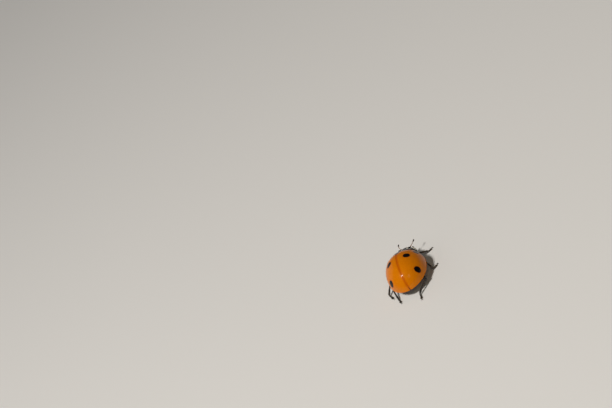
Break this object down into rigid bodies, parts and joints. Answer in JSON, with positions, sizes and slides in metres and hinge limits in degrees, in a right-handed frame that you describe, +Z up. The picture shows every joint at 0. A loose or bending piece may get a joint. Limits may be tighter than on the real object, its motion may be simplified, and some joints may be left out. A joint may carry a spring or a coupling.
{
  "type": "seven-spot ladybird",
  "caption": "Life-size domed beetle with orange, black-spotted wing cases, short clubbed feelers and splayed walking legs.",
  "frame": {"origin": "on the floor, under the middle of the beetle's bounding box; the feet's soles are at z = 0", "axes": "+Z up; +Y towards the beetle's rear, so its head faces -Y; +X towards its own left side"},
  "size_m": [0.0074, 0.0102, 0.0038],
  "materials": {
    "orange_shell": "glossy waxed orange shell with black spots",
    "black_shell": "glossy black shell, finely pitted",
    "black_leg": "satin black, finely haired",
    "eye": "glossy black, finely faceted",
    "brown_feeler": "brown, darker at the club",
    "dark_mouth": "dark brown, glossy"
  },
  "bodies": {
    "root": {"abdomen": "black_shell", "antenna_left": "brown_feeler", "antenna_right": "brown_feeler", "elytron_left": "orange_shell", "elytron_right": "orange_shell", "eye_left": "eye", "eye_right": "eye", "fore_left_coxa": "black_leg", "fore_left_femur": "black_leg", "fore_left_tarsus": "black_leg", "fore_left_tibia": "black_leg", "fore_right_coxa": "black_leg", "fore_right_femur": "black_leg", "fore_right_tarsus": "black_leg", "fore_right_tibia": "black_leg", "head": "black_shell", "hind_left_coxa": "black_leg", "hind_left_femur": "black_leg", "hind_left_tarsus": "black_leg", "hind_left_tibia": "black_leg", "hind_right_coxa": "black_leg", "hind_right_femur": "black_leg", "hind_right_tarsus": "black_leg", "hind_right_tibia": "black_leg", "mid_left_coxa": "black_leg", "mid_left_femur": "black_leg", "mid_left_tarsus": "black_leg", "mid_left_tibia": "black_leg", "mid_right_coxa": "black_leg", "mid_right_femur": "black_leg", "mid_right_tarsus": "black_leg", "mid_right_tibia": "black_leg", "mouthparts": "dark_mouth", "palp_left": "dark_mouth", "palp_right": "dark_mouth", "pronotum": "black_shell", "prosternum": "black_shell", "scutellum": "black_shell", "thorax": "black_shell"}
  },
  "joints": []
}
